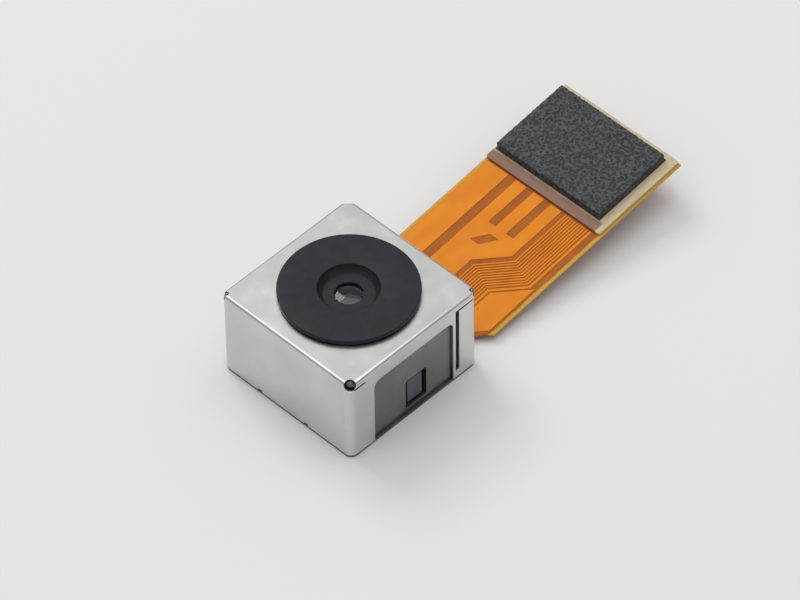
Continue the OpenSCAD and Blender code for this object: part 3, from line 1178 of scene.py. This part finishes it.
@dataclass
class LensBarrel:
    """Front flange and barrel, turned in one piece."""

    flange_r: float = 4.2
    flange: tuple[float, float] = (6.38, 6.68)
    barrel_r: float = 3.1
    foot: float = 2.35
    recess_r: float = 1.85
    floor_r: float = 1.54
    recess_floor: float = 6.18
    mouth_r: float = 0.86
    seats: tuple[tuple[float, float], ...] = ((2.1, 6.04), (2.1, 4.79), (2.4, 4.79), (2.4, 4.14), (2.62, 4.14))
    rim: float = 0.07

    def build(self) -> Piece:
        """Turns the barrel.

        Returns:
            The barrel.
        """
        low, high = self.flange
        rim = [
            (self.flange_r - self.rim * (1 - math.sin(a)), high - self.rim * (1 - math.cos(a)))
            for a in (math.radians(10 * i) for i in range(9, -1, -1))
        ]
        brow = [
            (self.recess_r + 0.03 * (1 - math.sin(a)), high - 0.03 * (1 - math.cos(a)))
            for a in (math.radians(15 * i) for i in range(7))
        ]
        profile = [(self.barrel_r, self.foot), (self.barrel_r, low), (self.flange_r - 0.03, low), (self.flange_r, low + 0.03)]
        profile += rim + brow
        profile += [(self.floor_r + 0.02, self.recess_floor + 0.03), (self.floor_r - 0.02, self.recess_floor)]
        profile += [(self.mouth_r + 0.02, self.recess_floor), (self.mouth_r, self.recess_floor - 0.02)]
        profile += [(self.mouth_r, self.seats[0][1])]
        profile += list(self.seats) + [(self.seats[-1][0], self.foot)]
        return Piece.turned("front_barrel", profile, 192)


@dataclass
class LensElement:
    """Moulded lens: a flat flange with a domed or hollow middle on each side."""

    name: str
    rim_r: float
    clear_r: float
    low: float
    high: float
    front: float
    back: float
    steps: int = 20

    def build(self) -> Piece:
        """Turns the lens.

        Returns:
            The lens.
        """
        shares = [i / self.steps for i in range(self.steps + 1)]
        under = [(self.clear_r * s, self.low - self.back * (1 - s * s)) for s in shares]
        over = [(self.clear_r * s, self.high + self.front * (1 - s * s)) for s in reversed(shares)]
        return Piece.turned(self.name, under + [(self.rim_r, self.low), (self.rim_r, self.high)] + over, 96, closed=False)


@dataclass
class Tail:
    """The flexible circuit and the frame of its raised part."""

    left: float = -4.65
    right: float = 4.75
    bottom: float = 0.2
    sheet: float = 0.12
    bend_start: float = 5.55
    bend_r: float = 2.0
    pitch: float = 7.8
    length: float = 18.1
    board_half: float = 4.7
    face: float = 5.25
    chamfer: float = 1.6
    stiffener_l: float = 7.0

    @property
    def bend_y(self) -> float:
        """Where the two flats of the top face would meet.

        Returns:
            The place along Y.
        """
        return self.bend_start + (self.bend_r - self.sheet) * math.tan(math.radians(self.pitch) / 2)

    @property
    def run(self) -> float:
        """Length of the slope past the meeting of the flats.

        Returns:
            The length.
        """
        return self.length - (self.bend_y - self.face)

    @property
    def stiffener_start(self) -> float:
        """Where the stiffener starts along the slope.

        Returns:
            The distance up the slope.
        """
        return self.run - self.stiffener_l

    def on_slope(self) -> Matrix:
        """Frame with X across from the left edge, Y up the slope and Z out of the top face.

        Returns:
            The frame.
        """
        place = Matrix.Translation((self.left, self.bend_y, self.bottom + self.sheet))
        return place @ Matrix.Rotation(math.radians(self.pitch), 4, "X")

    def build(self) -> Piece:
        """Extrudes the sheet, bends it upward and trims its plan.

        Returns:
            The flexible circuit.
        """
        low, high = self.bottom, self.bottom + self.sheet
        sheet = Piece.box("flex_sheet", (-self.board_half, -self.board_half, low), (self.right, self.bend_start, high))
        sheet.pick(Element.FACE, lambda f: f.normal.y > 0.9)
        bpy.ops.mesh.spin(
            steps=12, angle=-math.radians(self.pitch), center=(0, self.bend_start, low + self.bend_r), axis=(1, 0, 0)
        )
        up = math.radians(self.pitch)
        straight = self.run - (self.bend_r - self.sheet) * math.tan(up / 2)
        bpy.ops.mesh.extrude_region_move(
            TRANSFORM_OT_translate={"value": (0, straight * math.cos(up), straight * math.sin(up))}
        )
        sheet.face_outwards()
        far = self.face + 40
        neck = self.right - self.chamfer
        shoulder = self.face + 0.3
        beside = Piece.outline(
            "right_trim",
            [(self.board_half, -5.5), (self.board_half, self.board_half), (neck, self.board_half), (neck, shoulder),
             (self.right, shoulder + self.chamfer), (self.right + 1, shoulder + self.chamfer), (self.right + 1, -5.5)],
            -1, 9,
        )
        other = Piece.outline(
            "left_trim",
            [(self.left, self.board_half), (self.left, far), (-self.board_half - 1, far), (-self.board_half - 1, self.board_half)],
            -1, 9,
        )
        return sheet.cut(beside, other).soften(0.015, 2, 40)


@dataclass
class FoamPad:
    """Die-cut foam sheet with an open-cell surface."""

    tail: Tail
    left: float = 0.1
    wide: float = 8.5
    long: float = 5.85
    thick: float = 0.55
    base: float = 0.25
    offset: float = 0.75
    pitch: float = 0.075

    def build(self) -> Piece:
        """Cuts the foam and roughens it inward from its faces.

        Returns:
            The foam pad.
        """
        start = self.tail.stiffener_start + self.offset
        low, high = self.base, self.base + self.thick
        pad = Piece.box("foam_sheet", (self.left, start, low), (self.left + self.wide, start + self.long, high))
        pad.bevel(upright, 0.12, 3)
        pad.modify("REMESH", mode="VOXEL", voxel_size=self.pitch)
        group = pad.obj.vertex_groups.new(name="open")
        open_faces = [v.index for v in pad.obj.data.vertices if v.co.z > low + 0.06]
        group.add(open_faces, 1.0, "REPLACE")
        for name, size, depth, basis in (("cells", 0.16, 0.10, "VORONOI_F1"), ("crumbs", 0.07, 0.05, "ORIGINAL_PERLIN")):
            texture = bpy.data.textures.new(name, "CLOUDS")
            texture.noise_scale = size
            texture.noise_depth = 2
            texture.noise_basis = basis
            pad.modify(
                "DISPLACE", texture=texture, strength=depth, mid_level=1.0, vertex_group="open", texture_coords="LOCAL"
            )
        return pad.put(self.tail.on_slope())


@dataclass
class Stiffener:
    """Backing film under the foam."""

    tail: Tail
    wide: float = 9.25
    thick: float = 0.2

    def build(self) -> Piece:
        """Cuts the film.

        Returns:
            The stiffener.
        """
        start = self.tail.stiffener_start
        film = Piece.box("backing_film", (0, start, 0), (self.wide, start + self.tail.stiffener_l, self.thick))
        film.bevel(upright, 0.15, 4)
        return film.soften(0.03, 2, 40).put(self.tail.on_slope())


@dataclass
class BoardConnector:
    """Board connector on the underside of the tail's far end."""

    tail: Tail
    long: float = 7.0
    wide: float = 2.6
    high: float = 0.8
    wall: float = 0.4
    contacts: int = 12
    pitch: float = 0.4
    plate_wide: float = 9.25

    def on_plug(self) -> Matrix:
        """Frame at the connector's centre, Z pointing away from the tail.

        Returns:
            The frame.
        """
        middle = self.tail.stiffener_start + self.tail.stiffener_l / 2
        place = Matrix.Translation((self.plate_wide / 2, middle, -self.tail.sheet))
        return self.tail.on_slope() @ place @ Matrix.Rotation(math.pi, 4, "X")

    def body(self) -> Piece:
        """Moulds the body: a rim, a moat and a tongue.

        Returns:
            The body.
        """
        x, y = self.long / 2, self.wide / 2
        body = Piece.box("connector_shell", (-x, -y, 0), (x, y, self.high))
        body.bevel(upright, 0.12, 3)
        moat = Piece.box("moat", (-x + self.wall, -y + self.wall, 0.25), (x - self.wall, y - self.wall, self.high + 0.5))
        tongue = Piece.box("tongue", (-x + 0.8, -0.3, 0), (x - 0.8, 0.3, self.high - 0.05))
        moat.cut(tongue)
        slots = []
        for i in range(self.contacts):
            for side in (-1, 1):
                across = (i - (self.contacts - 1) / 2) * self.pitch
                slots.append(
                    Piece.box("slot", (across - 0.1, side * y - 0.49, -0.5), (across + 0.1, side * y + 0.49, self.high - 0.2))
                )
        body.cut(moat, slots[0].join(slots[1:]))
        return body.soften(0.02, 2, 40).put(self.on_plug())

    def terminals(self) -> Piece:
        """Bends one contact and copies it along both rows.

        Returns:
            All the contacts.
        """
        y = self.wide / 2
        first = Piece.box("contact_row", (-0.09, y - 0.48, 0), (0.09, y + 0.3, 0.08))
        riser = Piece.box("riser", (-0.09, y - 0.48, 0.08), (0.09, y - 0.3, self.high - 0.21))
        first.join([riser])
        first.soften(0.025, 2, 40)
        rows = []
        for i in range(self.contacts):
            for side in (0, 1):
                twin = first.copy("contact")
                turn = Matrix.Rotation(math.pi * side, 4, "Z")
                across = Matrix.Translation(((i - (self.contacts - 1) / 2) * self.pitch, 0, 0))
                rows.append(twin.put(across @ turn))
        bpy.data.objects.remove(first.obj)
        return rows[0].join(rows[1:]).put(self.on_plug())


# --- The studio


@dataclass
class Studio:
    """Pale table, soft light and the camera."""

    azimuth: float = 44.9
    elevation: float = 47.76
    roll: float = -0.81
    distance: float = 377.1
    aim: Point = (1.137, 3.013, 4.05)
    lens: float = 292.5

    def camera(self) -> None:
        """Sets the camera."""
        a, e, roll = (math.radians(x) for x in (self.azimuth, self.elevation, self.roll))
        back = Vector((math.sin(a) * math.cos(e), -math.cos(a) * math.cos(e), math.sin(e)))
        right = Vector((math.cos(a), math.sin(a), 0))
        up = back.cross(right)
        right, up = right * math.cos(roll) + up * math.sin(roll), up * math.cos(roll) - right * math.sin(roll)
        turn = Matrix((right, up, back)).transposed().to_4x4()
        data = bpy.data.cameras.new("camera")
        data.lens = self.lens
        data.sensor_width = 36
        data.clip_start, data.clip_end = 0.01, 20
        camera = bpy.data.objects.new("camera", data)
        camera.matrix_world = Matrix.Translation((Vector(self.aim) + back * self.distance) * MM) @ turn
        bpy.context.scene.collection.objects.link(camera)
        bpy.context.scene.camera = camera

    def floor(self) -> None:
        """Lays the table top."""
        clear_selection()
        bpy.ops.mesh.primitive_plane_add(size=4, location=(0, 0, 0))
        table = bpy.context.object
        table.name = "table"
        table.data.materials.append(Floor("table_top", shade(232, 232, 231)).make())

    def sky(self) -> None:
        """Surrounds the table with a soft dome, dimmer towards the horizon."""
        world = bpy.data.worlds.new("studio")
        bpy.context.scene.world = world
        world.use_nodes = True
        tree = world.node_tree
        tree.nodes.clear()
        coords = tree.nodes.new("ShaderNodeTexCoord")
        split = tree.nodes.new("ShaderNodeSeparateXYZ")
        ramp = tree.nodes.new("ShaderNodeValToRGB")
        path = tree.nodes.new("ShaderNodeLightPath")
        mix = tree.nodes.new("ShaderNodeMix")
        mix.data_type = "RGBA"
        background = tree.nodes.new("ShaderNodeBackground")
        output = tree.nodes.new("ShaderNodeOutputWorld")
        stops = ((0.0, 0.12), (0.22, 0.24), (0.42, 0.52), (0.72, 0.57), (0.86, 0.85), (1.0, 2.0))
        while len(ramp.color_ramp.elements) < len(stops):
            ramp.color_ramp.elements.new(0.5)
        for stop, (place, level) in zip(ramp.color_ramp.elements, stops):
            stop.position, stop.color = place, (level, level * 1.0, level * 1.01, 1)
        mix.inputs[7].default_value = (0.81, 0.81, 0.805, 1)
        tree.links.new(coords.outputs["Generated"], split.inputs[0])
        tree.links.new(split.outputs["Z"], ramp.inputs[0])
        tree.links.new(path.outputs["Is Camera Ray"], mix.inputs[0])
        tree.links.new(ramp.outputs[0], mix.inputs[6])
        tree.links.new(mix.outputs[2], background.inputs[0])
        tree.links.new(background.outputs[0], output.inputs[0])

    def lamp(self, name: str, place: Point, size: float, power: float) -> None:
        """Hangs a square lamp that points at the module.

        Args:
            name: The lamp's name.
            place: Its place in millimetres.
            size: Its side in millimetres.
            power: Its power in watts.
        """
        data = bpy.data.lights.new(name, "AREA")
        data.size = size * MM
        data.energy = power
        lamp = bpy.data.objects.new(name, data)
        lamp.location = Vector(place) * MM
        lamp.rotation_euler = (Vector(place)).to_track_quat("Z", "Y").to_euler()
        bpy.context.scene.collection.objects.link(lamp)

    def set_up(self) -> None:
        """Sets the camera, the table and the lights."""
        self.camera()
        self.floor()
        self.sky()
        self.lamp("key", (-380, 60, 420), 260, 0.85)


# --- The whole module


class CameraModule:
    """All the module's pieces and finishes on the frame's bodies."""

    def __init__(self) -> None:
        """Mixes the finishes."""
        self.can = SheetMetal("can_sheet_metal", shade(214, 214, 211), shade(205, 205, 203), 0.26)
        self.yoke = SheetMetal("yoke_sheet", shade(134, 134, 131), shade(122, 122, 119), 0.36, 0.08)
        self.plate = SheetMetal("base_sheet", shade(112, 112, 110), shade(98, 98, 97), 0.38, 0.1)
        # Black barrel finish. Its faint blue tint is painted reflection.
        self.barrel = Moulded("barrel_paint_blue_reflection", shade(43, 44, 51), 0.4, 0.003, 26, 0.2)
        self.resin = Moulded("black_resin", shade(38, 38, 41), 0.5)
        # Actuator base resin. Its pale blue-violet grey is painted reflection, matching what shows through the yoke's
        # snap windows.
        self.base_resin_painted_reflection = Moulded("actuator_resin_painted_reflection", shade(84, 84, 100), 0.45)
        self.chip = Moulded("chip_resin", shade(34, 34, 36), 0.55)
        # Painted reflection: the blackout film is grey rather than black. It stands in for the front lens's reflection
        # over the aperture stop.
        self.film = Moulded("blackout_painted_reflection", shade(80, 82, 84), 0.5, 0.001)
        self.glue = Moulded("adhesive_film", shade(70, 40, 34), 0.5, 0.002)
        self.laminate = Moulded("board", shade(34, 84, 58), 0.4, 0.002)
        self.ceramic = Moulded("ceramic_body", shade(178, 150, 112), 0.5, 0.002)
        self.gold = Plated("contact_gold_plate", (0.83, 0.60, 0.26, 1), 0.2)
        self.alloy = Plated("spring_bronze", (0.78, 0.56, 0.32, 1), 0.28)
        self.tin = Plated("tin_plate", (0.68, 0.67, 0.64, 1), 0.32)
        self.nickel = Plated("magnet_nickel", (0.52, 0.52, 0.53, 1), 0.3)
        self.wire = Plated("coil_copper", (0.62, 0.30, 0.14, 1), 0.35, 0.01)
        self.silicon = Plated("silicon_die", (0.16, 0.20, 0.26, 1), 0.12, 0.001)
        self.lens_glass = Glass("lens_resin", (0.93, 0.95, 0.97, 1), 1.53)
        self.filter_glass = Glass("filter", (0.72, 0.90, 0.93, 1), 1.52)
        self.tail = Tail()

    def finishes(self) -> dict[str, tuple[Any, Slot]]:
        """Finishes of the CAD pieces that keep their meshes.

        Returns:
            Finish and slot of each node.
        """
        return {
            "magnets": (self.nickel, Slot.MAGNET),
            "upper_frame": (self.resin, Slot.MOULDING),
            "upper_spring": (self.alloy, Slot.SPRING_ALLOY),
            "lower_spring": (self.alloy, Slot.SPRING_ALLOY),
            "actuator_base": (self.base_resin_painted_reflection, Slot.MOULDING),
            "actuator_terminals": (self.gold, Slot.CONTACT_GOLD),
            "filter_holder": (self.resin, Slot.MOULDING),
            "infrared_filter": (self.filter_glass, Slot.FILTER_GLASS),
            "image_sensor": (self.silicon, Slot.SILICON),
            "sensor_board": (self.laminate, Slot.BOARD_LAMINATE),
            "driver_chip": (self.chip, Slot.CHIP_BLACK),
            "memory_chip": (self.chip, Slot.CHIP_BLACK),
            "capacitors": (self.ceramic, Slot.CERAMIC),
            "base_plate": (self.plate, Slot.PLATE_STEEL),
            "foam_adhesive": (self.glue, Slot.ADHESIVE),
            "connector_anchors": (self.tin, Slot.ANCHOR_METAL),
            "lens_carrier": (self.resin, Slot.MOULDING),
            "focus_coil": (self.wire, Slot.COIL_WIRE),
            "aperture_stop": (self.film, Slot.BLACKOUT_FILM),
            "spacer_1": (self.film, Slot.BLACKOUT_FILM),
            "spacer_2": (self.film, Slot.BLACKOUT_FILM),
            "spacer_3": (self.film, Slot.BLACKOUT_FILM),
            "retaining_ring": (self.resin, Slot.MOULDING),
            "copper_traces": (
                CoveredCopper("covered_copper", shade(226, 130, 12), shade(233, 140, 16)), Slot.TRACE_COPPER
            ),
        }

    def dress_nodes(self, nodes: dict[str, bpy.types.Object]) -> None:
        """Gives the CAD pieces that show their finishes.

        Args:
            nodes: The frame's nodes.
        """
        made: dict[str, bpy.types.Material] = {}
        for name, (finish, slot) in self.finishes().items():
            if finish.name not in made:
                made[finish.name] = finish.make()
            obj = nodes[name]
            obj.data.materials.clear()
            obj.data.materials.append(made[finish.name])

    def lenses(self) -> None:
        """Turns the five lenses."""
        glass = self.lens_glass.make()
        shapes = (
            LensElement("front_lens", 2.08, 0.82, 5.34, 6.04, 0.1, -0.06),
            LensElement("second_lens", 2.08, 1.3, 4.79, 5.29, -0.05, -0.12),
            LensElement("third_lens", 2.38, 1.6, 4.14, 4.74, -0.1, -0.05),
            LensElement("fourth_lens", 2.6, 1.9, 3.49, 4.09, -0.12, -0.05),
            LensElement("fifth_lens", 2.6, 2.2, 2.72, 3.44, -0.2, -0.15),
        )
        for number, shape in enumerate(shapes, 1):
            shape.build().settle(glass, Slot.LENS_GLASS, Body.LENS, [f"lens_{number}"], 30)

    def circuit(self) -> None:
        """Makes the tail, its stiffener, the foam and the connector."""
        tail = self.tail
        amber = Circuit(
            "amber_film", shade(178, 98, 20), shade(162, 88, 20), shade(206, 160, 66), tail.left, tail.right
        )
        tail.build().settle(amber.make(), Slot.POLYIMIDE, Body.HOUSING, ["flex_tail"])
        backing = BackingFilm("stiffener", shade(206, 190, 152), shade(134, 97, 74), 17.0, 4.3)
        Stiffener(tail).build().settle(backing.make(), Slot.STIFFENER_FILM, Body.HOUSING, ["tail_stiffener"])
        # The second shade is the foam's painted highlight grey, used on its cell walls and glints.
        foam = FoamSheet("open_cell_foam", shade(66, 68, 70), shade(108, 110, 112), shade(52, 54, 56))
        pad = FoamPad(tail).build().settle(foam.make(), Slot.FOAM, Body.HOUSING, ["foam_pad"], 60)
        plug = BoardConnector(tail)
        plug.body().settle(self.resin.make(), Slot.CONNECTOR_RESIN, Body.HOUSING, ["connector_body"])
        plug.terminals().settle(self.gold.make(), Slot.CONTACT_GOLD, Body.HOUSING, ["connector_contacts"])

    def build(self, nodes: dict[str, bpy.types.Object]) -> None:
        """Builds and dresses the whole module.

        Args:
            nodes: The frame's nodes.
        """
        self.dress_nodes(nodes)
        ShieldCan().build().settle(self.can.make(), Slot.CAN_SHEET, Body.HOUSING, ["shield_can"], 32)
        Yoke().build().settle(self.yoke.make(), Slot.YOKE_STEEL, Body.HOUSING, ["yoke"], 32)
        LensBarrel().build().settle(self.barrel.make(), Slot.BARREL_BLACK, Body.LENS, ["lens_barrel"], 32)
        self.lenses()
        self.circuit()


def main() -> None:
    """Builds the module and the studio round it."""
    logging.basicConfig(level=logging.INFO)
    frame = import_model()
    CameraModule().build(frame["nodes"])
    Studio().set_up()
    bpy.context.scene.view_settings.view_transform = "Standard"


if __name__ == "__main__":
    main()
